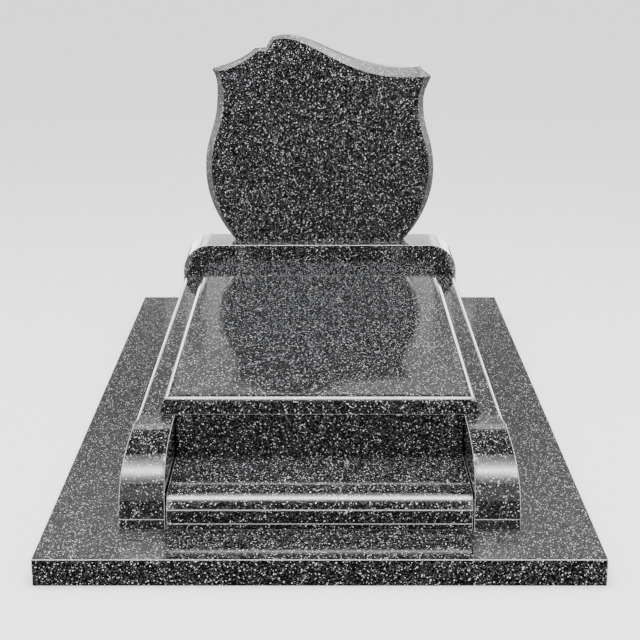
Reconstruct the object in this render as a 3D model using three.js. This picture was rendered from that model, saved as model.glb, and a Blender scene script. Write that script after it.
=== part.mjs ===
// Granite grave monument with a shield-shaped headstone.
// A ground slab carries two scroll-ended kerbs on thin strips, a low step between them,
// an upright front panel, a moulded cover slab, a round-shouldered plinth and the headstone.
// Millimetres. +Z is up and +Y runs to the head end. The origin is the middle of the
// ground slab's underside. The space under the cover slab is hollow and empty.

import * as THREE from 'three';

// Ground slab
const slabWidth = 1400;
const slabLength = 2400;
const slabThickness = 70;

// Body: from the front of the kerbs to the front of the plinth
const frontMargin = 172;
const bodyLength = 1772;
const bodyWidth = 1018;

// Kerbs, measured above the ground slab
const kerbWidth = 117;
const kerbStripHeight = 29;
const kerbTopHeight = 213;
const kerbLean = 20;
const kerbInnerLean = 5;
const railRounding = 17;
const roundingRun = 40;

// Scroll at the front end of each kerb
const scrollFootHeight = 90;
const scrollDepth = 206;
const scrollEdge = 4;

// Step between the kerbs
const stepStripHeight = 17;
const riserHeight = 37;
const treadThickness = 35.5;
const stepDepth = 277;
const nosingDepth = 37;
const nosingLip = 2.5;
const nosingBow = 5;

// Upright panel behind the step
const panelThickness = 50;

// Cover slab and its edge moulding
const coverThickness = 48;
const coverOverhang = 8;
const coverBearing = 34;
const coverFaceHeight = 32;
const coverFaceLean = 7;
const coverRollHeight = 44.5;
const coverRollDepth = 20;
const coverMouldingWidth = 42;

// Plinth
const plinthWidth = 996;
const plinthDepth = 186;
const plinthHeight = 321;
const plinthShoulder = 97;

// Headstone
const headstoneWidth = 830;
const headstoneHeight = 744;
const headstoneThickness = 80;
const headstoneBevel = 20;
const headstoneSetback = 79;

// Joints: open ones at the ends of the step, narrow ones where pieces butt
const sideJoint = 4;
const buttJoint = 1;

// Places worked out from the sizes
const kerbFront = -slabLength / 2 + frontMargin;
const plinthFront = kerbFront + bodyLength;
const kerbLength = bodyLength - buttJoint;
const innerHalf = bodyWidth / 2 - kerbWidth;
const stepWidth = 2 * (innerHalf - sideJoint);
const panelWidth = 2 * (innerHalf - kerbInnerLean - buttJoint);
const panelFront = kerbFront + stepDepth + buttJoint;
const coverFront = panelFront - coverOverhang;
const coverLength = plinthFront - buttJoint - coverFront;
const coverWidth = 2 * (innerHalf + coverBearing);

// Steps along the curves
const scrollSteps = 18;
const roundSteps = 5;
const leanSteps = 8;
const innerSteps = 3;
const nosingSteps = 8;
const rollSteps = 6;
const shoulderSteps = 14;

// The headstone's outline, in shares of half its width and of its height. Each stretch
// is a curve that ends at `to`; `leave` and `arrive` are its handles at the two ends.
const rimStart = [-0.748, 0];
const rim = [
  { to: [-1, 0.368], leave: [-0.282, 0.178], arrive: [0, 0.01], steps: 10 },
  { to: [-0.888, 0.731], leave: [0, 0.152], arrive: [0, 0.176], steps: 12 },
  { to: [-0.929, 0.839], leave: [0, 0.02], arrive: [-0.049, 0.042], steps: 5 },
  { to: [-0.555, 0.936], leave: [0.135, 0.016], arrive: [0.101, 0.051], steps: 9 },
  { to: [-0.464, 0.939], leave: [0.03, 0.001], arrive: [0.03, 0.001], steps: 1 },
  { to: [-0.408, 0.99], leave: [0.013, 0.019], arrive: [0.021, 0.015], steps: 3 },
  { to: [-0.288, 1], leave: [0.04, 0.0075], arrive: [0.05, 0], steps: 4 },
  { to: [0.71, 0.848], leave: [0.26, 0], arrive: [0.49, 0], steps: 18 },
  { to: [0.861, 0.855], leave: [0.05, 0], arrive: [0.05, 0.006], steps: 4 },
  { to: [0.965, 0.806], leave: [0.022, -0.021], arrive: [0.041, -0.008], steps: 5 },
  { to: [0.9, 0.688], leave: [-0.031, -0.036], arrive: [0, -0.039], steps: 5 },
  { to: [1, 0.341], leave: [0, -0.157], arrive: [0, -0.178], steps: 12 },
  { to: [0.739, 0], leave: [0, -0.127], arrive: [-0.139, -0.072], steps: 10 },
];

// The front face inside the bevel has an outline of its own, because the bevel widens
// from the crown to the right horn. It has as many stretches and steps as the rim.
const faceStart = [-0.722, 0];
const face = [
  { to: [-0.947, 0.368], leave: [-0.246, 0.178], arrive: [0, 0.01], steps: 10 },
  { to: [-0.829, 0.7], leave: [0, 0.14], arrive: [0, 0.13], steps: 12 },
  { to: [-0.867, 0.834], leave: [0, 0.045], arrive: [-0.02, 0.045], steps: 5 },
  { to: [-0.536, 0.926], leave: [0.12, 0.01], arrive: [0.095, 0.048], steps: 9 },
  { to: [-0.453, 0.928], leave: [0.03, 0.001], arrive: [0.03, 0.001], steps: 1 },
  { to: [-0.39, 0.982], leave: [0.015, 0.02], arrive: [0.023, 0.015], steps: 3 },
  { to: [-0.31, 0.988], leave: [0.027, 0.005], arrive: [0.03, 0], steps: 4 },
  { to: [0.72, 0.805], leave: [0.25, 0], arrive: [0.49, 0.006], steps: 18 },
  { to: [0.84, 0.804], leave: [0.04, -0.001], arrive: [0.04, 0], steps: 4 },
  { to: [0.904, 0.8055], leave: [0.02, 0], arrive: [0.02, 0.0012], steps: 5 },
  { to: [0.853, 0.672], leave: [-0.03, -0.053], arrive: [0, -0.055], steps: 5 },
  { to: [0.955, 0.365], leave: [0, -0.13], arrive: [0, -0.12], steps: 12 },
  { to: [0.712, 0], leave: [0, -0.137], arrive: [-0.139, -0.072], steps: 10 },
];

// Closed body through a row of rings that all have the same number of points. The first
// and last rings lie flat and are filled; u and v name the two axes they are filled in.
function loft(rings, u, v) {
  const count = rings[0].length;
  const positions = rings.flat().flatMap((point) => [point.x, point.y, point.z]);
  const indices = [];
  for (let ring = 0; ring + 1 < rings.length; ring += 1) {
    for (let i = 0; i < count; i += 1) {
      const a = ring * count + i;
      const b = ring * count + ((i + 1) % count);
      indices.push(a, b, b + count, a, b + count, a + count);
    }
  }
  const last = (rings.length - 1) * count;
  for (const [a, b, c] of fill(rings[0], u, v)) {
    indices.push(a, c, b);
  }
  for (const [a, b, c] of fill(rings[rings.length - 1], u, v)) {
    indices.push(last + a, last + b, last + c);
  }
  if (signedVolume(positions, indices) < 0) {
    indices.reverse();
  }
  const geometry = new THREE.BufferGeometry();
  geometry.setAttribute('position', new THREE.Float32BufferAttribute(positions, 3));
  geometry.setIndex(indices);
  geometry.computeVertexNormals();
  return geometry;
}

// Triangles across a flat ring, turning the same way as the ring does
function fill(ring, u, v) {
  const contour = ring.map((point) => new THREE.Vector2(point[u], point[v]));
  const turn = Math.sign(THREE.ShapeUtils.area(contour));
  return THREE.ShapeUtils.triangulateShape(contour, []).map(([a, b, c]) => {
    const corner = THREE.ShapeUtils.area([contour[a], contour[b], contour[c]]);
    return Math.sign(corner) === turn ? [a, b, c] : [a, c, b];
  });
}

function signedVolume(positions, indices) {
  const corner = (i) => new THREE.Vector3().fromArray(positions, 3 * indices[i]);
  let volume = 0;
  for (let i = 0; i < indices.length; i += 3) {
    volume += corner(i).dot(corner(i + 1).cross(corner(i + 2))) / 6;
  }
  return volume;
}

// Points along a cubic curve after its first one
function curvePoints(from, leave, arrive, to, steps) {
  const curve = new THREE.CubicBezierCurve(
    new THREE.Vector2(...from),
    new THREE.Vector2(from[0] + leave[0], from[1] + leave[1]),
    new THREE.Vector2(to[0] - arrive[0], to[1] - arrive[1]),
    new THREE.Vector2(...to),
  );
  return curve.getPoints(steps).slice(1).map((point) => [point.x, point.y]);
}

// Points along a round stretch between two points, bowed out to the right of its way
function bowPoints(from, to, bow, steps) {
  const run = Math.hypot(to[0] - from[0], to[1] - from[1]);
  const radius = (run * run) / (8 * bow) + bow / 2;
  const half = Math.asin(run / (2 * radius));
  const along = [(to[0] - from[0]) / run, (to[1] - from[1]) / run];
  const points = [];
  for (let i = 1; i <= steps; i += 1) {
    const angle = half * ((2 * i) / steps - 1);
    const step = run / 2 + radius * Math.sin(angle);
    const rise = radius * (Math.cos(angle) - Math.cos(half));
    points.push([
      from[0] + along[0] * step + along[1] * rise,
      from[1] + along[1] * step - along[0] * rise,
    ]);
  }
  return points;
}

// Rectangular block standing on z = 0, from y = 0 backwards, centred across
function blockGeometry(width, length, height) {
  const ring = (z) => [
    new THREE.Vector3(-width / 2, 0, z),
    new THREE.Vector3(width / 2, 0, z),
    new THREE.Vector3(width / 2, length, z),
    new THREE.Vector3(-width / 2, length, z),
  ];
  return loft([ring(0), ring(height)], 'x', 'y');
}

// Height of the kerb's top above its strip, at each place along the scroll
function scrollLine() {
  const foot = [0, scrollFootHeight - kerbStripHeight];
  const crest = [scrollDepth, kerbTopHeight - kerbStripHeight];
  const rise = crest[1] - foot[1];
  const leave = [0.053 * scrollDepth, 0.87 * rise];
  const arrive = [0.757 * scrollDepth, 0.09 * rise];
  return [foot, ...curvePoints(foot, leave, arrive, crest, scrollSteps)];
}

// How far a side of the kerb has leaned in at a height above the strip. It springs
// upright from the strip and bows in to its full lean at the top.
function leanAt(height, fullLean) {
  const full = kerbTopHeight - kerbStripHeight;
  return fullLean * (height / full) ** 2;
}

// Cross-section of a kerb: x runs out from the foot of the inner face, top is its height
// and rounding the radius of its outer top edge. Both sides bow towards the step.
function kerbSection(y, top, rounding, side) {
  const outline = [];
  for (let i = 0; i <= innerSteps; i += 1) {
    const height = (top * i) / innerSteps;
    outline.push([-leanAt(height, kerbInnerLean), height]);
  }
  const spring = top - rounding;
  const outer = kerbWidth - leanAt(spring, kerbLean);
  for (let i = 0; i <= roundSteps; i += 1) {
    const angle = (Math.PI / 2) * (1 - i / roundSteps);
    outline.push([
      outer - rounding + rounding * Math.cos(angle),
      spring + rounding * Math.sin(angle),
    ]);
  }
  for (let i = 1; i <= leanSteps; i += 1) {
    const height = spring * (1 - i / leanSteps);
    outline.push([kerbWidth - leanAt(height, kerbLean), height]);
  }
  return outline.map(([x, z]) => new THREE.Vector3(side * x, y, z));
}

function kerbGeometry(side) {
  const top = kerbTopHeight - kerbStripHeight;
  const rings = scrollLine().map(([y, z]) => kerbSection(y, z, scrollEdge, side));
  rings.push(kerbSection(scrollDepth + roundingRun, top, railRounding, side));
  rings.push(kerbSection(kerbLength, top, railRounding, side));
  return loft(rings, 'x', 'z');
}

// Tread with a bowed nosing above a narrow upright lip
function treadGeometry() {
  const lip = [0, nosingLip];
  const crease = [nosingDepth, treadThickness];
  const profile = [
    [0, 0],
    lip,
    ...bowPoints(lip, crease, -nosingBow, nosingSteps),
    [stepDepth, treadThickness],
    [stepDepth, 0],
  ];
  const ring = (x) => profile.map(([y, z]) => new THREE.Vector3(x, y, z));
  return loft([ring(-stepWidth / 2), ring(stepWidth / 2)], 'y', 'z');
}

// Edge of the cover slab as pairs of inset and height: a leaning face, a tight roll and
// a gentle slope up to the flat top
function coverMoulding() {
  const foot = [coverFaceLean, coverFaceHeight];
  const roll = [coverRollDepth, coverRollHeight];
  const rise = coverRollHeight - coverFaceHeight;
  const run = coverRollDepth - coverFaceLean;
  const rollCurve = curvePoints(foot, [0.3 * run, 0.42 * rise], [0.42 * run, 0.3 * rise], roll, rollSteps);
  return [[0, 0], foot, ...rollCurve, [coverMouldingWidth, coverThickness]];
}

function coverGeometry() {
  const rings = coverMoulding().map(([inset, z]) => {
    const half = coverWidth / 2 - inset;
    return [
      new THREE.Vector3(-half, inset, z),
      new THREE.Vector3(half, inset, z),
      new THREE.Vector3(half, coverLength, z),
      new THREE.Vector3(-half, coverLength, z),
    ];
  });
  return loft(rings, 'x', 'y');
}

function plinthGeometry() {
  const half = plinthWidth / 2;
  const outline = [[-half, 0], [half, 0]];
  for (const side of [1, -1]) {
    for (let i = 0; i <= shoulderSteps; i += 1) {
      const turn = (Math.PI / 2) * (side > 0 ? i / shoulderSteps : 1 - i / shoulderSteps);
      outline.push([
        side * (half - plinthShoulder + plinthShoulder * Math.cos(turn)),
        plinthHeight - plinthShoulder + plinthShoulder * Math.sin(turn),
      ]);
    }
  }
  const ring = (y) => outline.map(([x, z]) => new THREE.Vector3(x, y, z));
  return loft([ring(0), ring(plinthDepth)], 'x', 'z');
}

// All the points of a headstone outline at one depth
function headstoneRing(start, stretches, y) {
  const points = [start];
  for (const { to, leave, arrive, steps } of stretches) {
    points.push(...curvePoints(points[points.length - 1], leave, arrive, to, steps));
  }
  return points.map(([u, v]) => new THREE.Vector3((u * headstoneWidth) / 2, y, v * headstoneHeight));
}

function headstoneGeometry() {
  const rings = [
    headstoneRing(faceStart, face, 0),
    headstoneRing(rimStart, rim, headstoneBevel),
    headstoneRing(rimStart, rim, headstoneThickness),
  ];
  return loft(rings, 'x', 'z');
}

// Polished dark granite
function granite() {
  return new THREE.MeshStandardMaterial({ color: 0x3b3d40, roughness: 0.12, metalness: 0 });
}

function piece(name, geometry, x, y, z) {
  const mesh = new THREE.Mesh(geometry, granite());
  mesh.name = name;
  mesh.position.set(x, y, z);
  return mesh;
}

const group = new THREE.Group();
group.add(piece('ground_slab', blockGeometry(slabWidth, slabLength, slabThickness), 0, -slabLength / 2, 0));

// Everything above the ground slab stands in one group on its top
const monument = new THREE.Group();
monument.position.z = slabThickness;
group.add(monument);

for (const [name, side] of [['left', -1], ['right', 1]]) {
  const middle = side * (innerHalf + kerbWidth / 2);
  const strip = blockGeometry(kerbWidth, kerbLength, kerbStripHeight);
  monument.add(piece(`kerb_strip_${name}`, strip, middle, kerbFront, 0));
  monument.add(piece(`kerb_${name}`, kerbGeometry(side), side * innerHalf, kerbFront, kerbStripHeight));
}

const step = new THREE.Group();
step.position.y = kerbFront;
monument.add(step);
step.add(piece('step_strip', blockGeometry(stepWidth, stepDepth, stepStripHeight), 0, 0, 0));
step.add(piece('step_riser', blockGeometry(stepWidth, stepDepth, riserHeight), 0, 0, stepStripHeight));
step.add(piece('step_tread', treadGeometry(), 0, 0, stepStripHeight + riserHeight));

monument.add(piece('front_panel', blockGeometry(panelWidth, panelThickness, kerbTopHeight), 0, panelFront, 0));
monument.add(piece('cover_slab', coverGeometry(), 0, coverFront, kerbTopHeight));
monument.add(piece('plinth', plinthGeometry(), 0, plinthFront, 0));
monument.add(piece('headstone', headstoneGeometry(), 0, plinthFront + headstoneSetback, plinthHeight));

export default group;
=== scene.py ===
"""Polished dark granite grave monument with a shield-shaped headstone, in a plain pale studio.

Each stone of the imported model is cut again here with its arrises, smooth curves and grain,
in the place of its node. Metres, +Z up, +Y to the head end.
"""

import math

import bmesh
import bpy
import numpy as np
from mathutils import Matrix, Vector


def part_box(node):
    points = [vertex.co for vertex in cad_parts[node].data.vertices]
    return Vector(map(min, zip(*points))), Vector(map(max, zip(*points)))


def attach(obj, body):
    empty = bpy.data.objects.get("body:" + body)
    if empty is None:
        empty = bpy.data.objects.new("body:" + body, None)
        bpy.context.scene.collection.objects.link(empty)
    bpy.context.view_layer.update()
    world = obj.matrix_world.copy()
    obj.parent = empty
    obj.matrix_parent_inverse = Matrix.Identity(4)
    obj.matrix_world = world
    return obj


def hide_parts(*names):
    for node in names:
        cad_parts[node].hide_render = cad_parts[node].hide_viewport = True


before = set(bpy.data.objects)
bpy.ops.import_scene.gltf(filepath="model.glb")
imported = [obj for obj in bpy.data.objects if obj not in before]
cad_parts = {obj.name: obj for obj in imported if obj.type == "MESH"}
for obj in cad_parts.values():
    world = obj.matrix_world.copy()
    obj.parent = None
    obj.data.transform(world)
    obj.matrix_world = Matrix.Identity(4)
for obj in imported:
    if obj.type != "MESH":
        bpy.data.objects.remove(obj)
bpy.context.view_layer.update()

# Worked edges
ARRIS = 0.0012
SCROLL_EDGE = 0.003
RAIL_ROUNDING = 0.016
ROUNDING_RUN = 0.04
NARROW_FACE = 0.0042
CREASE_ANGLE = math.radians(27)
SHARP_TURN = 0.3
WELD = 1e-6

# Kerbs. The handles of the scroll's curve are shares of its depth and of its rise
KERB_LEAN = 0.020
KERB_INNER_LEAN = 0.005
SCROLL_FOOT = 0.061
SCROLL_DEPTH = 0.206
SCROLL_LEAVE = (0.053, 0.87)
SCROLL_ARRIVE = (0.757, 0.09)
SCROLL_STEPS = 40
RAIL_STEPS = 5
# Faces of the scroll turned this far sideways get the pale arris finish, a painted highlight on its outer
# edge
SCROLL_EDGE_TURN = (0.3, 0.95)
BACK_MARGIN = 0.001

# Nosing of the step
NOSING_DEPTH = 0.037
NOSING_LIP = 0.0025
NOSING_BOW = 0.005
NOSING_SET_BACK = 0.001

# Edge moulding of the cover slab. The handles of its roll are shares of the roll's run and rise
COVER_FACE_HEIGHT = 0.032
COVER_FACE_LEAN = 0.007
COVER_ROLL_HEIGHT = 0.0445
COVER_ROLL_DEPTH = 0.020
COVER_MOULDING_WIDTH = 0.042
ROLL_LEAVE = (0.3, 0.42)
ROLL_ARRIVE = (0.42, 0.3)

# Shoulders of the plinth and bevel of the headstone
PLINTH_SHOULDER = 0.097
SHOULDER_POINTS = 33
HEADSTONE_BEVEL = 0.020
BEVEL_TURN = (0.2, 0.97)

# The headstone's outline, in shares of half its width and of its height. Each stretch ends
# at its first point; the next two are its handles at the two ends, the last its steps.
RIM_START = (-0.748, 0)
RIM = [
    ((-1, 0.368), (-0.282, 0.178), (0, 0.01), 24),
    ((-0.888, 0.731), (0, 0.152), (0, 0.176), 24),
    ((-0.929, 0.839), (0, 0.02), (-0.049, 0.042), 12),
    ((-0.555, 0.936), (0.135, 0.016), (0.101, 0.051), 20),
    ((-0.464, 0.939), (0.03, 0.001), (0.03, 0.001), 1),
    ((-0.408, 0.99), (0.013, 0.019), (0.021, 0.015), 8),
    ((-0.288, 1), (0.04, 0.0075), (0.05, 0), 10),
    ((0.71, 0.848), (0.26, 0), (0.49, 0), 48),
    ((0.861, 0.855), (0.05, 0), (0.05, 0.006), 8),
    ((0.965, 0.806), (0.022, -0.021), (0.041, -0.008), 12),
    ((0.9, 0.688), (-0.031, -0.036), (0, -0.039), 12),
    ((1, 0.341), (0, -0.157), (0, -0.178), 24),
    ((0.739, 0), (0, -0.127), (-0.139, -0.072), 24),
]
FACE_START = (-0.722, 0)
FACE = [
    ((-0.947, 0.368), (-0.246, 0.178), (0, 0.01), 24),
    ((-0.829, 0.7), (0, 0.14), (0, 0.13), 24),
    ((-0.867, 0.834), (0, 0.045), (-0.02, 0.045), 12),
    ((-0.536, 0.926), (0.12, 0.01), (0.095, 0.048), 20),
    ((-0.453, 0.928), (0.03, 0.001), (0.03, 0.001), 1),
    ((-0.39, 0.982), (0.015, 0.02), (0.023, 0.015), 8),
    ((-0.31, 0.988), (0.027, 0.005), (0.03, 0), 10),
    ((0.72, 0.805), (0.25, 0), (0.49, 0.006), 48),
    ((0.84, 0.804), (0.04, -0.001), (0.04, 0), 8),
    ((0.904, 0.8055), (0.02, 0), (0.02, 0.0012), 12),
    ((0.853, 0.672), (-0.03, -0.053), (0, -0.055), 12),
    ((0.955, 0.365), (0, -0.13), (0, -0.12), 24),
    ((0.712, 0), (0, -0.137), (-0.139, -0.072), 24),
]

# Grain of the granite: grains to the metre, how far their edges wander, and the shades, each
# after the share of the grains from which it begins
GRAIN_RAGGED = 0.0026
RAGGED_SCALE = 260
GRAIN_SCALE = 320
CRYSTAL_SCALE = 480
LARGE_CRYSTAL_SCALE = 330
GRAIN_SHADES = [(0, 0.0004), (0.28, 0.002), (0.5, 0.006), (0.7, 0.014), (0.86, 0.03), (0.95, 0.06)]
CRYSTAL_SHADES = [(0, 0), (0.9, 0.08), (0.972, 0.6)]
LARGE_CRYSTAL_SHADES = [(0, 0), (0.99, 0.6)]
COOL_TINT = 1.03
# Pale grey of a ground edge, mixed in strongly enough to paint highlight lines on arrises and bevels
GROUND_AND_HIGHLIGHT_SHADE = (0.5, 0.5, 0.51, 1)
STONE_IOR = 1.5

# Studio
FLOOR = 60
FLOOR_SHADE = (0.8, 0.8, 0.8, 1)
DOME = 50
ROOM_STRENGTH = 2.1
OVERHEAD_SIZE = (3.5, 3.5)
OVERHEAD_PLACE = (0, -0.8, 4.2)
OVERHEAD_POWER = 420
CAMERA_PLACE = (0.0008, -4.4289, 1.6182)
CAMERA_TILT = 73.72
CAMERA_LENS = 82.035
SENSOR_WIDTH = 36

# What the polish mirrors, by the angle up and over: 0 the horizon in front, 90 straight up,
# 180 the horizon behind. Degrees and radiance.
ROOM_GLOW = [
    (-180, 0.05), (-1, 0.08), (55, 0.1), (64, 1.8), (69, 5.6), (74, 30), (79, 52), (84, 44), (90, 20),
    (95, 8.9), (101, 4.3), (107, 2.2), (112, 0.5), (119, 0.1), (139, 0.15), (145, 0.7), (150, 1.2),
    (155, 0.85), (160, 0.36), (166, 0.34), (168, 5.5), (172, 4.5), (173.5, 0.6), (180, 0.1),
]
SCROLL_GLOW = [
    (0, 2.2), (5, 3.5), (10, 5), (17, 12), (24, 27), (30, 40), (35, 45), (44, 30), (56, 14), (70, 8),
    (83, 4.3), (96, 2.9), (105, 1.5),
]
GLOW_SCALE = 60

# The curved lights over the scrolls: middle line (y, z), near and far ends, turn in degrees
HOOD_RADIUS = 1.1
HOOD_MIDDLE = (-1.0, 0.22)
HOOD_NEAR = 0.512
HOOD_FAR = 1.0
HOOD_START = 1
HOOD_TURN = 104
HOOD_STEPS = 24

# Upright screens on each side that only the polish sees: near end, far end, distance,
# foot, top and radiance. Two dark ones keep the scrolls' lights out of the headstone and the
# cover slab; pale ones light the crests, the scrolls' feet, the rails and the side mouldings.
SCREENS = {
    "behind": (0.42, 1.1, -0.745, 0.285, 1.4, 0.1),
    "cover": (0.36, 0.6, -0.85, 0.287, 0.6, 0.12),
    "crest": (0.42, 1.1, -0.752, 0.318, 0.352, 2.2),
    "rail front": (0.42, 1.1, -0.752, 0.285, 0.318, 0.8),
    "foot": (0.4, 0.75, -1.3, 0.06, 0.195, 1.5),
    "rail": (1.08, 1.36, 8, 2.0, 3.7, 0.9),
    "side": (1.5, 4.0, 8, -0.7, 1.1, 6.5),
}


# Outlines

def curve_points(start, leave, arrive, end, steps):
    """Points along a cubic curve after its first one."""
    a = np.array(start, float)
    d = np.array(end, float)
    b = a + leave
    c = d - arrive
    t = np.linspace(0, 1, steps + 1)[1:, None]
    return a * (1 - t) ** 3 + 3 * b * t * (1 - t) ** 2 + 3 * c * t**2 * (1 - t) + d * t**3


def bow_points(start, end, bow, steps):
    """Points along a round stretch between two points, bowed out to the left of its way."""
    a, b = np.array(start, float), np.array(end, float)
    run = np.linalg.norm(b - a)
    radius = run * run / (8 * bow) + bow / 2
    half = math.asin(run / (2 * radius))
    along = (b - a) / run
    out = np.array([-along[1], along[0]])
    angle = np.linspace(-half, half, steps + 1)[1:, None]
    forward = along * (run / 2 + radius * np.sin(angle))
    return a + forward + out * radius * (np.cos(angle) - math.cos(half))


def cut_corners(low, high, cut=ARRIS):
    """Rectangle with its four corners cut off."""
    (x0, y0), (x1, y1) = low, high
    return np.array([
        (x0 + cut, y0), (x1 - cut, y0), (x1, y0 + cut), (x1, y1 - cut),
        (x1 - cut, y1), (x0 + cut, y1), (x0, y1 - cut), (x0, y0 + cut),
    ])


def inset_moves(outline, insets):
    """The move of each corner that insets the edge after it by its own amount.

    insets holds one amount for each edge; edge i runs from corner i to the next one.
    """
    follower = np.roll(outline, -1, axis=0)
    ahead = follower - outline
    ahead /= np.linalg.norm(ahead, axis=1)[:, None]
    area = np.sum(outline[:, 0] * follower[:, 1] - outline[:, 1] * follower[:, 0])
    normal = np.stack([-ahead[:, 1], ahead[:, 0]], axis=1) * np.sign(area)
    moves = np.zeros_like(outline)
    for i in range(len(outline)):
        before, after = normal[i - 1], normal[i]
        turn = before[0] * after[1] - before[1] * after[0]
        if abs(turn) > SHARP_TURN:
            moves[i] = np.linalg.solve(np.array([before, after]), (insets[i - 1], insets[i]))
        else:
            middle = before + after
            moves[i] = middle / (middle @ middle) * (insets[i - 1] + insets[i])
    return moves


# Stones by geometry nodes

def link(tree, a, b):
    """Joins an output to an input."""
    tree.links.new(a, b)


def stone_tree(name, labels, inset_names, round_names):
    """Raises a flat outline through named levels into a closed stone.

    At each level every corner stands at: rim + inset move x inset + rise x (height +
    corner rounding x rounding). The moves and the roundings are attributes of the outline.
    """
    tree = bpy.data.node_groups.new(name, "GeometryNodeTree")
    face = tree.interface
    face.new_socket("Outline", in_out="INPUT", socket_type="NodeSocketGeometry")
    face.new_socket("Rise", in_out="INPUT", socket_type="NodeSocketVector")
    face.new_socket("Stone", in_out="INPUT", socket_type="NodeSocketMaterial")
    for label in labels:
        for size in ("inset", "height", "rounding"):
            face.new_socket(f"{label} {size}", in_out="INPUT", socket_type="NodeSocketFloat")
    face.new_socket("Stone", in_out="OUTPUT", socket_type="NodeSocketGeometry")
    nodes = tree.nodes
    given = nodes.new("NodeGroupInput")
    result = nodes.new("NodeGroupOutput")

    def attribute(kind, wanted):
        node = nodes.new("GeometryNodeInputNamedAttribute")
        node.data_type = kind
        node.inputs["Name"].default_value = wanted
        return node.outputs["Attribute"]

    def scaled(vector, amount):
        node = nodes.new("ShaderNodeVectorMath")
        node.operation = "SCALE"
        link(tree, vector, node.inputs[0])
        link(tree, amount, node.inputs["Scale"])
        return node.outputs[0]

    def added(a, b):
        node = nodes.new("ShaderNodeVectorMath")
        node.operation = "ADD"
        link(tree, a, node.inputs[0])
        link(tree, b, node.inputs[1])
        return node.outputs[0]

    def corner_place(label, inset_name, round_name):
        height = nodes.new("ShaderNodeMath")
        height.operation = "MULTIPLY_ADD"
        link(tree, attribute("FLOAT", round_name), height.inputs[0])
        link(tree, given.outputs[f"{label} rounding"], height.inputs[1])
        link(tree, given.outputs[f"{label} height"], height.inputs[2])
        inset = scaled(attribute("FLOAT_VECTOR", inset_name), given.outputs[f"{label} inset"])
        lift = scaled(given.outputs["Rise"], height.outputs[0])
        return added(added(attribute("FLOAT_VECTOR", "rim"), inset), lift)

    def placed(geometry, place, selection=None):
        node = nodes.new("GeometryNodeSetPosition")
        link(tree, geometry, node.inputs["Geometry"])
        link(tree, place, node.inputs["Position"])
        if selection is not None:
            link(tree, selection, node.inputs["Selection"])
        return node.outputs["Geometry"]

    rim = nodes.new("GeometryNodeStoreNamedAttribute")
    rim.data_type = "FLOAT_VECTOR"
    rim.inputs["Name"].default_value = "rim"
    link(tree, given.outputs["Outline"], rim.inputs["Geometry"])
    link(tree, nodes.new("GeometryNodeInputPosition").outputs[0], rim.inputs["Value"])
    stone = placed(rim.outputs[0], corner_place(labels[0], inset_names[0], round_names[0]))
    foot = nodes.new("GeometryNodeFlipFaces")
    link(tree, stone, foot.inputs[0])
    top = None
    for label, inset_name, round_name in zip(labels[1:], inset_names[1:], round_names[1:]):
        raised = nodes.new("GeometryNodeExtrudeMesh")
        raised.mode = "FACES"
        raised.inputs["Individual"].default_value = False
        raised.inputs["Offset Scale"].default_value = 0
        link(tree, stone, raised.inputs["Mesh"])
        if top is not None:
            link(tree, top, raised.inputs["Selection"])
        top = raised.outputs["Top"]
        stone = placed(raised.outputs["Mesh"], corner_place(label, inset_name, round_name), top)
    both = nodes.new("GeometryNodeJoinGeometry")
    link(tree, stone, both.inputs[0])
    link(tree, foot.outputs[0], both.inputs[0])
    welded = nodes.new("GeometryNodeMergeByDistance")
    welded.inputs["Distance"].default_value = WELD
    link(tree, both.outputs[0], welded.inputs["Geometry"])
    real = nodes.new("GeometryNodeRealizeInstances")
    link(tree, welded.outputs[0], real.inputs[0])
    finish = nodes.new("GeometryNodeSetMaterial")
    link(tree, real.outputs[0], finish.inputs["Geometry"])
    link(tree, given.outputs["Stone"], finish.inputs["Material"])
    link(tree, finish.outputs[0], result.inputs[0])
    return tree


def raise_stone(name, tree, outline, rise, values, stone, attributes):
    """Runs a stone tree on an outline of 3-D corners and returns the finished mesh object."""
    normal = sum(np.cross(outline[i - 1], outline[i]) for i in range(len(outline)))
    order = list(range(len(outline)))
    if normal @ rise <= 0:
        order.reverse()
    mesh = bpy.data.meshes.new(name)
    mesh.from_pydata([tuple(outline[i]) for i in order], [], [list(range(len(order)))])
    for key, data in attributes.items():
        data = np.asarray(data, np.float32)[order]
        kind = "FLOAT_VECTOR" if data.ndim == 2 else "FLOAT"
        layer = mesh.attributes.new(key, kind, "POINT")
        layer.data.foreach_set("vector" if data.ndim == 2 else "value", data.ravel())
    worked = bpy.data.objects.new(name, mesh)
    bpy.context.collection.objects.link(worked)
    modifier = worked.modifiers.new("cut", "NODES")
    modifier.node_group = tree
    socket = {
        item.name: item.identifier
        for item in tree.interface.items_tree
        if item.in_out == "INPUT"
    }
    modifier[socket["Rise"]] = tuple(float(x) for x in rise)
    modifier[socket["Stone"]] = stone
    for key, value in values.items():
        modifier[socket[key]] = float(value)
    seen = worked.evaluated_get(bpy.context.evaluated_depsgraph_get())
    done = bpy.data.meshes.new_from_object(seen)
    worked.modifiers.remove(modifier)
    worked.data = done
    bpy.data.meshes.remove(mesh)
    done.name = name
    for key in [a.name for a in done.attributes if a.name in (*attributes, "rim")]:
        done.attributes.remove(done.attributes[key])
    return worked


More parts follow.
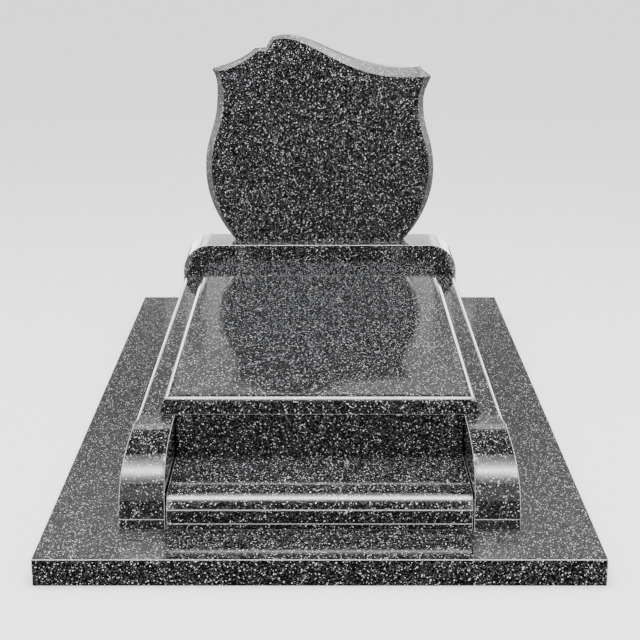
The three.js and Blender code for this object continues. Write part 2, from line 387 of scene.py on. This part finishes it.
def dress(stone, node, finishes):
    """Smooth curves, crisp creases, the pale arris finish with painted highlight on the narrow faces;
    stands for its node.
    """
    mesh = stone.data
    mesh.materials.clear()
    for finish in finishes:
        mesh.materials.append(finish)
    work = bmesh.new()
    work.from_mesh(mesh)
    for face in work.faces:
        creases = [
            edge for edge in face.edges
            if edge.is_manifold and edge.calc_face_angle() > CREASE_ANGLE
        ]
        run = sum(edge.calc_length() for edge in creases) / 2
        narrow = len(creases) > 1 and face.calc_area() < NARROW_FACE * run
        # Narrow faces take the pale arris material: a ground finish lightened to paint highlight lines on
        # the edges
        face.material_index = 1 if narrow else 0
    work.to_mesh(mesh)
    work.free()
    mesh.shade_smooth()
    mesh.set_sharp_from_angle(angle=CREASE_ANGLE)
    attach(stone, "root")
    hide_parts(node)
    return stone


def edge_levels(steps_near, steps_far, depth):
    """Levels of a stone whose near and far edges are rounded, with their values."""
    labels, insets, rounds, values = [], [], [], {}
    for i in range(steps_near + 1):
        turn = math.pi / 2 * i / steps_near
        label = f"Near {i}"
        labels.append(label)
        insets.append("near_inset")
        rounds.append("near_round")
        values[f"{label} inset"] = 1 - math.sin(turn)
        values[f"{label} height"] = 0
        values[f"{label} rounding"] = 1 - math.cos(turn)
    for i in range(steps_far + 1):
        turn = math.pi / 2 * i / steps_far
        label = f"Far {i}"
        labels.append(label)
        insets.append("far_inset")
        rounds.append("far_round")
        values[f"{label} inset"] = 1 - math.cos(turn)
        values[f"{label} height"] = depth
        values[f"{label} rounding"] = math.sin(turn) - 1
    return labels, insets, rounds, values


def lay(points, plane, level):
    """Puts outline points into space: plane names the two axes, level is the third value."""
    axes = {"xy": (0, 1, 2), "xz": (0, 2, 1), "yz": (1, 2, 0)}[plane]
    space = np.zeros((len(points), 3))
    space[:, axes[0]] = points[:, 0]
    space[:, axes[1]] = points[:, 1]
    space[:, axes[2]] = level
    return space


def dressed_stone(name, node, outline, plane, level, rise, depth, near, far, finishes, steps_far=1):
    """A stone of one outline, with worked edges all round its near and far faces."""
    near = np.broadcast_to(near, len(outline))
    far = np.broadcast_to(far, len(outline))
    labels, insets, rounds, values = edge_levels(1, steps_far, depth)
    tree = stone_tree(f"{name} cut", labels, insets, rounds)
    near_moves = inset_moves(outline, near)
    far_moves = inset_moves(outline, far)
    stone = raise_stone(
        name, tree, lay(outline, plane, level), np.array(rise, float), values, finishes[0],
        {
            "near_inset": lay(near_moves, plane, 0),
            "far_inset": lay(far_moves, plane, 0),
            "near_round": np.maximum(near, np.roll(near, 1)),
            "far_round": np.maximum(far, np.roll(far, 1)),
        },
    )
    return dress(stone, node, finishes)


# Finishes. The ground arris and the honed bevel are real finishes whose lightened colour also paints
# highlight

def granite(name, roughness, lift):
    """Dark granite of black, grey and white grains; lift pales it, partly as a ground edge is, partly as
    painted highlight.
    """
    material = bpy.data.materials.new(name)
    material.use_nodes = True
    nodes = material.node_tree.nodes
    links = material.node_tree.links
    shader = nodes["Principled BSDF"]
    shader.inputs["Roughness"].default_value = roughness
    shader.inputs["IOR"].default_value = STONE_IOR
    place = nodes.new("ShaderNodeTexCoord")
    ragged = nodes.new("ShaderNodeTexNoise")
    ragged.inputs["Scale"].default_value = RAGGED_SCALE
    ragged.inputs["Detail"].default_value = 1
    links.new(place.outputs["Object"], ragged.inputs["Vector"])
    pushed = nodes.new("ShaderNodeVectorMath")
    pushed.operation = "MULTIPLY_ADD"
    pushed.inputs[1].default_value = (GRAIN_RAGGED,) * 3
    links.new(ragged.outputs["Color"], pushed.inputs[0])
    links.new(place.outputs["Object"], pushed.inputs[2])

    def grains(scale, channel):
        node = nodes.new("ShaderNodeTexVoronoi")
        node.inputs["Scale"].default_value = scale
        links.new(pushed.outputs[0], node.inputs["Vector"])
        split = nodes.new("ShaderNodeSeparateColor")
        links.new(node.outputs["Color"], split.inputs[0])
        return split.outputs[channel]

    def shades(source, stops):
        node = nodes.new("ShaderNodeValToRGB")
        node.color_ramp.interpolation = "CONSTANT"
        elements = node.color_ramp.elements
        while len(elements) < len(stops):
            elements.new(0.5)
        for element, (position, value) in zip(elements, stops):
            element.position = position
            element.color = (value, value, value * COOL_TINT, 1)
        links.new(source, node.inputs[0])
        return node.outputs[0]

    def mixed(kind, share, a, b):
        node = nodes.new("ShaderNodeMix")
        node.data_type = "RGBA"
        node.blend_type = kind
        node.inputs[0].default_value = share
        links.new(a, node.inputs[6])
        if isinstance(b, tuple):
            node.inputs[7].default_value = b
        else:
            links.new(b, node.inputs[7])
        return node.outputs[2]

    colour = shades(grains(GRAIN_SCALE, 0), GRAIN_SHADES)
    crystals = shades(grains(CRYSTAL_SCALE, 1), CRYSTAL_SHADES)
    colour = mixed("LIGHTEN", 1, colour, crystals)
    large_crystals = shades(grains(LARGE_CRYSTAL_SCALE, 2), LARGE_CRYSTAL_SHADES)
    colour = mixed("LIGHTEN", 1, colour, large_crystals)
    # The lift: partly the lighter colour of a ground finish, partly a painted highlight
    if lift:
        colour = mixed("MIX", lift, colour, GROUND_AND_HIGHLIGHT_SHADE)
    links.new(colour, shader.inputs["Base Color"])
    return material


polished = granite("polished granite", 0.075, 0)
# Ground arris: a ground finish, made pale enough to paint bright highlight lines along the edges
ground_edge_and_highlight = granite("ground arris", 0.35, 0.62)
# Honed bevel: its slight lift paints a sheen on the headstone's bevel
honed = granite("honed bevel", 0.5, 0.07)
FINISHES = (polished, ground_edge_and_highlight)


# The stones

def flat_stone(node, finishes):
    """Rectangular slab, strip or layer with an arris on every edge."""
    low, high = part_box(node)
    outline = cut_corners(low[:2], high[:2])
    return dressed_stone(
        f"{node}_stone", node, outline, "xy", low[2], (0, 0, 1), high[2] - low[2], ARRIS, ARRIS, finishes)


def step_tread():
    """Top layer of the step, with a bowed nosing between its lip and the crease on top."""
    low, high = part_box("step_tread")
    front, back, foot, top = low[1], high[1], low[2], high[2]
    lip = (front, foot + NOSING_LIP)
    crease = (front + NOSING_DEPTH, top)
    outline = np.vstack([
        [(front + NOSING_SET_BACK, foot), lip],
        bow_points(lip, crease, NOSING_BOW, 16),
        [(back, top), (back, foot)],
    ])
    return dressed_stone(
        "step_tread_stone", "step_tread", outline, "yz", low[0], (1, 0, 0), high[0] - low[0],
        ARRIS, ARRIS, FINISHES)


def kerb(name, side):
    """Kerb that rolls down in a scroll at the front; both sides lean in as they rise."""
    node = f"kerb_{name}"
    low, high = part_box(node)
    front, back, foot, top = low[1], high[1], low[2], high[2]
    width = high[0] - low[0] - KERB_INNER_LEAN
    rise = top - foot - SCROLL_FOOT
    start = (front, foot + SCROLL_FOOT)
    crest = (front + SCROLL_DEPTH, top)
    leave = (SCROLL_LEAVE[0] * SCROLL_DEPTH, SCROLL_LEAVE[1] * rise)
    arrive = (SCROLL_ARRIVE[0] * SCROLL_DEPTH, SCROLL_ARRIVE[1] * rise)
    scroll = curve_points(start, leave, arrive, crest, SCROLL_STEPS)
    rail = [(crest[0] + ROUNDING_RUN * k / RAIL_STEPS, top) for k in range(1, RAIL_STEPS + 1)]
    outline = np.vstack([
        [(front + ARRIS, foot), (front, foot + ARRIS), start], scroll, rail, [(back, top), (back, foot)],
    ])
    middle = (outline + np.roll(outline, -1, axis=0)) / 2
    along = np.clip((middle[:, 0] - crest[0]) / ROUNDING_RUN, 0, 1)
    far = np.full(len(outline), ARRIS)
    on_top = (middle[:, 1] > foot + SCROLL_FOOT) & (middle[:, 0] < back - BACK_MARGIN)
    far[on_top] = SCROLL_EDGE + (RAIL_ROUNDING - SCROLL_EDGE) * along[on_top]
    near = np.full(len(outline), ARRIS)
    at_back = middle[:, 0] > back - BACK_MARGIN
    far[at_back] = near[at_back] = 0
    inner = low[0] + KERB_INNER_LEAN if side > 0 else high[0] - KERB_INNER_LEAN
    stone = dressed_stone(
        f"{node}_stone", node, outline, "yz", inner, (side, 0, 0), width, near, far, FINISHES, steps_far=6)
    for vertex in stone.data.vertices:
        height = min(max((vertex.co.z - foot) / (top - foot), 0), 1)
        share = (vertex.co.x - inner) / (side * width)
        vertex.co.x -= side * height**2 * (KERB_INNER_LEAN + (KERB_LEAN - KERB_INNER_LEAN) * share)
    # The scroll's sideways-turned outer rounding takes the pale arris material: painted highlight along its
    # outer edge
    for face in stone.data.polygons:
        turned = SCROLL_EDGE_TURN[0] < side * face.normal.x < SCROLL_EDGE_TURN[1]
        if turned and face.center.y < front + SCROLL_DEPTH:
            face.material_index = 1
    return stone


def cover_slab():
    """Cover slab: a leaning face, a roll and a slope round three sides, plain at the back."""
    low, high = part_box("cover_slab")
    outline = np.array([(low[0], low[1]), (high[0], low[1]), (high[0], high[1]), (low[0], high[1])])
    moulded = np.array([1, 1, 0, 1])
    thickness = high[2] - low[2]
    foot = (COVER_FACE_LEAN, COVER_FACE_HEIGHT)
    roll = (COVER_ROLL_DEPTH, COVER_ROLL_HEIGHT)
    run, rise = roll[0] - foot[0], roll[1] - foot[1]
    section = [(ARRIS, 0), (ARRIS * foot[0] / foot[1], ARRIS), foot]
    leave = (ROLL_LEAVE[0] * run, ROLL_LEAVE[1] * rise)
    arrive = (ROLL_ARRIVE[0] * run, ROLL_ARRIVE[1] * rise)
    rolled = curve_points(foot, leave, arrive, roll, 12)
    section += [tuple(p) for p in rolled]
    slope = (COVER_MOULDING_WIDTH - roll[0]) / (thickness - roll[1])
    section.append((COVER_MOULDING_WIDTH - ARRIS * slope, thickness - ARRIS))
    section.append((COVER_MOULDING_WIDTH, thickness))
    back_arris = ARRIS / COVER_MOULDING_WIDTH
    labels = [f"Moulding {i}" for i in range(len(section))]
    values = {}
    for label, (inset, height) in zip(labels, section):
        values[f"{label} inset"] = inset
        values[f"{label} height"] = height
        values[f"{label} rounding"] = 0
    edges = ["moulding"] * (len(labels) - 1) + ["moulding_top"]
    tree = stone_tree("moulded slab cut", labels, edges, ["none"] * len(labels))
    stone = raise_stone(
        "cover_slab_stone", tree, lay(outline, "xy", low[2]), np.array([0, 0, 1.0]), values, polished,
        {
            "moulding": lay(inset_moves(outline, moulded), "xy", 0),
            "moulding_top": lay(inset_moves(outline, (1, 1, back_arris, 1)), "xy", 0),
            "none": np.zeros(4),
        },
    )
    return dress(stone, "cover_slab", FINISHES)


def plinth():
    """Block with a quarter-round shoulder at each end."""
    low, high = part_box("plinth")
    shoulder = PLINTH_SHOULDER
    outline = [(low[0] + ARRIS, low[2]), (high[0] - ARRIS, low[2]), (high[0], low[2] + ARRIS)]
    for turn in np.linspace(0, math.pi / 2, SHOULDER_POINTS):
        outline.append((
            high[0] - shoulder + shoulder * math.cos(turn),
            high[2] - shoulder + shoulder * math.sin(turn),
        ))
    for turn in np.linspace(math.pi / 2, math.pi, SHOULDER_POINTS):
        outline.append((
            low[0] + shoulder + shoulder * math.cos(turn),
            high[2] - shoulder + shoulder * math.sin(turn),
        ))
    outline.append((low[0], low[2] + ARRIS))
    return dressed_stone(
        "plinth_stone", "plinth", np.array(outline), "xz", low[1], (0, 1, 0), high[1] - low[1],
        ARRIS, ARRIS, FINISHES)


def shield(start, stretches, half_width, foot, height):
    """Outline of the headstone at its real size, from its stretches."""
    points = np.array([start], float)
    for end, leave, arrive, steps in stretches:
        points = np.vstack([points, curve_points(points[-1], leave, arrive, end, steps)])
    return np.stack([points[:, 0] * half_width, foot + points[:, 1] * height], axis=1)


def headstone():
    """Shield-shaped slab, cut back along its front edge in a bevel of changing width."""
    low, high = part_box("headstone")
    height = high[2] - low[2]
    half_width = (high[0] - low[0]) / 2
    rim = shield(RIM_START, RIM, half_width, low[2], height)
    face = shield(FACE_START, FACE, half_width, low[2], height)
    depth = high[1] - low[1]
    edge = inset_moves(rim, np.full(len(rim), ARRIS))
    labels = ["Back", "Back arris", "Side", "Face"]
    values = {
        "Back inset": 1, "Back height": 0, "Back rounding": 0,
        "Back arris inset": 0, "Back arris height": ARRIS, "Back arris rounding": 0,
        "Side inset": 0, "Side height": depth - HEADSTONE_BEVEL, "Side rounding": 0,
        "Face inset": 1, "Face height": depth, "Face rounding": 0,
    }
    tree = stone_tree("shield cut", labels, ["edge", "edge", "edge", "bevel"], ["none"] * 4)
    stone = raise_stone(
        "headstone_stone", tree, lay(rim, "xz", high[1]), np.array([0, -1.0, 0]), values, polished,
        {"edge": lay(edge, "xz", 0), "bevel": lay(face - rim, "xz", 0), "none": np.zeros(len(rim))},
    )
    dress(stone, "headstone", (polished, ground_edge_and_highlight, honed))
    # The leaning bevel faces take the honed material: rougher finish, with a slight lift that paints a
    # sheen
    for face in stone.data.polygons:
        leans = BEVEL_TURN[0] < abs(face.normal.y) < BEVEL_TURN[1]
        if leans and face.center.y < low[1] + HEADSTONE_BEVEL:
            face.material_index = 2
    return stone


for flat in ("ground_slab", "kerb_strip_left", "kerb_strip_right", "step_strip", "step_riser"):
    flat_stone(flat, FINISHES)
flat_stone("front_panel", (polished, polished))
step_tread()
kerb("left", -1)
kerb("right", 1)
cover_slab()
plinth()
headstone()


# Studio

def stage_mesh(name, mesh, material):
    """A thing of the studio, which is no part of the monument."""
    mesh.materials.append(material)
    thing = bpy.data.objects.new(name, mesh)
    bpy.context.collection.objects.link(thing)
    return thing


def studio_floor():
    """A matt pale floor, so wide that it fills the picture behind the monument."""
    mesh = bpy.data.meshes.new("studio_floor")
    corners = [(-FLOOR, -FLOOR, 0), (FLOOR, -FLOOR, 0), (FLOOR, FLOOR, 0), (-FLOOR, FLOOR, 0)]
    mesh.from_pydata(corners, [], [(0, 1, 2, 3)])
    material = bpy.data.materials.new("pale floor")
    material.use_nodes = True
    nodes = material.node_tree.nodes
    nodes.remove(nodes["Principled BSDF"])
    matt = nodes.new("ShaderNodeBsdfDiffuse")
    matt.inputs["Color"].default_value = FLOOR_SHADE
    material.node_tree.links.new(matt.outputs[0], nodes["Material Output"].inputs["Surface"])
    floor = stage_mesh("studio_floor", mesh, material)
    floor.visible_glossy = False


def glow_material(name, middle, stops):
    """A light whose radiance changes with the angle up and over, seen from a middle line."""
    material = bpy.data.materials.new(name)
    material.use_nodes = True
    nodes = material.node_tree.nodes
    links = material.node_tree.links
    nodes.remove(nodes["Principled BSDF"])
    place = nodes.new("ShaderNodeTexCoord")
    way = nodes.new("ShaderNodeVectorMath")
    way.operation = "SUBTRACT"
    way.inputs[1].default_value = (0, middle[0], middle[1])
    links.new(place.outputs["Object"], way.inputs[0])
    split = nodes.new("ShaderNodeSeparateXYZ")
    links.new(way.outputs[0], split.inputs[0])
    forward = nodes.new("ShaderNodeMath")
    forward.operation = "MULTIPLY"
    forward.inputs[1].default_value = -1
    links.new(split.outputs["Y"], forward.inputs[0])
    angle = nodes.new("ShaderNodeMath")
    angle.operation = "ARCTAN2"
    links.new(split.outputs["Z"], angle.inputs[0])
    links.new(forward.outputs[0], angle.inputs[1])
    share = nodes.new("ShaderNodeMapRange")
    share.inputs["From Min"].default_value = -math.pi
    share.inputs["From Max"].default_value = math.pi
    links.new(angle.outputs[0], share.inputs["Value"])
    glow = nodes.new("ShaderNodeValToRGB")
    elements = glow.color_ramp.elements
    while len(elements) < len(stops):
        elements.new(0.5)
    for element, (degrees, value) in zip(elements, stops):
        element.position = (degrees + 180) / 360
        element.color = (value / GLOW_SCALE,) * 3 + (1,)
    links.new(share.outputs["Result"], glow.inputs[0])
    light = nodes.new("ShaderNodeEmission")
    light.inputs["Strength"].default_value = GLOW_SCALE
    links.new(glow.outputs[0], light.inputs["Color"])
    links.new(light.outputs[0], nodes["Material Output"].inputs["Surface"])
    material.cycles.emission_sampling = "NONE"
    return material


def seen_by_polish_only(thing):
    thing.visible_camera = False
    thing.visible_diffuse = False
    thing.visible_shadow = False


def mirrored_studio():
    """A wide dome that only the polish sees: a dim room, a long lamp above, a pale back wall."""
    rings, sides = 48, 96
    points = []
    for i in range(rings + 1):
        up = math.pi * i / rings
        for k in range(sides):
            round_ = 2 * math.pi * k / sides
            points.append((
                DOME * math.sin(up) * math.cos(round_),
                DOME * math.sin(up) * math.sin(round_),
                DOME * math.cos(up),
            ))
    faces = [
        (i * sides + k, i * sides + (k + 1) % sides, (i + 1) * sides + (k + 1) % sides, (i + 1) * sides + k)
        for i in range(rings) for k in range(sides)
    ]
    mesh = bpy.data.meshes.new("mirrored_studio")
    mesh.from_pydata(points, [], faces)
    seen_by_polish_only(stage_mesh("mirrored_studio", mesh, glow_material("room glow", (0, 0), ROOM_GLOW)))


def scroll_lights():
    """Two curved soft lights, left and right, that only the polish of the scrolls sees."""
    material = glow_material("scroll glow", HOOD_MIDDLE, SCROLL_GLOW)
    turns = [math.radians(HOOD_START + HOOD_TURN * i / HOOD_STEPS) for i in range(HOOD_STEPS + 1)]
    for name, side in (("left", -1), ("right", 1)):
        points = []
        for turn in turns:
            y = HOOD_MIDDLE[0] - HOOD_RADIUS * math.cos(turn)
            z = HOOD_MIDDLE[1] + HOOD_RADIUS * math.sin(turn)
            points += [(side * HOOD_NEAR, y, z), (side * HOOD_FAR, y, z)]
        faces = [(2 * i, 2 * i + 1, 2 * i + 3, 2 * i + 2) for i in range(len(turns) - 1)]
        mesh = bpy.data.meshes.new(f"scroll_light_{name}")
        mesh.from_pydata(points, [], faces)
        seen_by_polish_only(stage_mesh(f"scroll_light_{name}", mesh, material))


def screens():
    """Upright screens, left and right, that only the polish sees."""
    for label, (near, far, y, foot, top, radiance) in SCREENS.items():
        material = bpy.data.materials.new(f"{label} screen")
        material.use_nodes = True
        nodes = material.node_tree.nodes
        nodes.remove(nodes["Principled BSDF"])
        light = nodes.new("ShaderNodeEmission")
        light.inputs["Strength"].default_value = radiance
        material.node_tree.links.new(light.outputs[0], nodes["Material Output"].inputs["Surface"])
        material.cycles.emission_sampling = "NONE"
        for name, side in (("left", -1), ("right", 1)):
            mesh = bpy.data.meshes.new(f"{label}_screen_{name}")
            inner, outer = side * near, side * far
            corners = [(inner, y, foot), (outer, y, foot), (outer, y, top), (inner, y, top)]
            mesh.from_pydata(corners, [], [(0, 1, 2, 3)])
            seen_by_polish_only(stage_mesh(f"{label}_screen_{name}", mesh, material))


def overhead_light():
    """Broad soft light above the monument, which the polish does not see."""
    data = bpy.data.lights.new("overhead", "AREA")
    data.shape = "RECTANGLE"
    data.size, data.size_y = OVERHEAD_SIZE
    data.energy = OVERHEAD_POWER
    light = bpy.data.objects.new("overhead", data)
    light.location = OVERHEAD_PLACE
    light.visible_camera = False
    light.visible_glossy = False
    bpy.context.collection.objects.link(light)


def room_light():
    """Even light from all round, which the polish does not see."""
    world = bpy.data.worlds.new("studio")
    world.use_nodes = True
    sky = world.node_tree.nodes["Background"]
    sky.inputs["Color"].default_value = (1, 1, 1, 1)
    sky.inputs["Strength"].default_value = ROOM_STRENGTH
    bpy.context.scene.world = world
    world.cycles_visibility.glossy = False


def studio():
    studio_floor()
    mirrored_studio()
    scroll_lights()
    screens()
    overhead_light()
    room_light()


def camera():
    """In front of the foot end, at eye level and looking down, as in the photograph."""
    data = bpy.data.cameras.new("camera")
    data.sensor_width = SENSOR_WIDTH
    data.lens = CAMERA_LENS
    view = bpy.data.objects.new("camera", data)
    view.location = CAMERA_PLACE
    view.rotation_euler = (math.radians(CAMERA_TILT), 0, 0)
    bpy.context.collection.objects.link(view)
    bpy.context.scene.camera = view


studio()
camera()
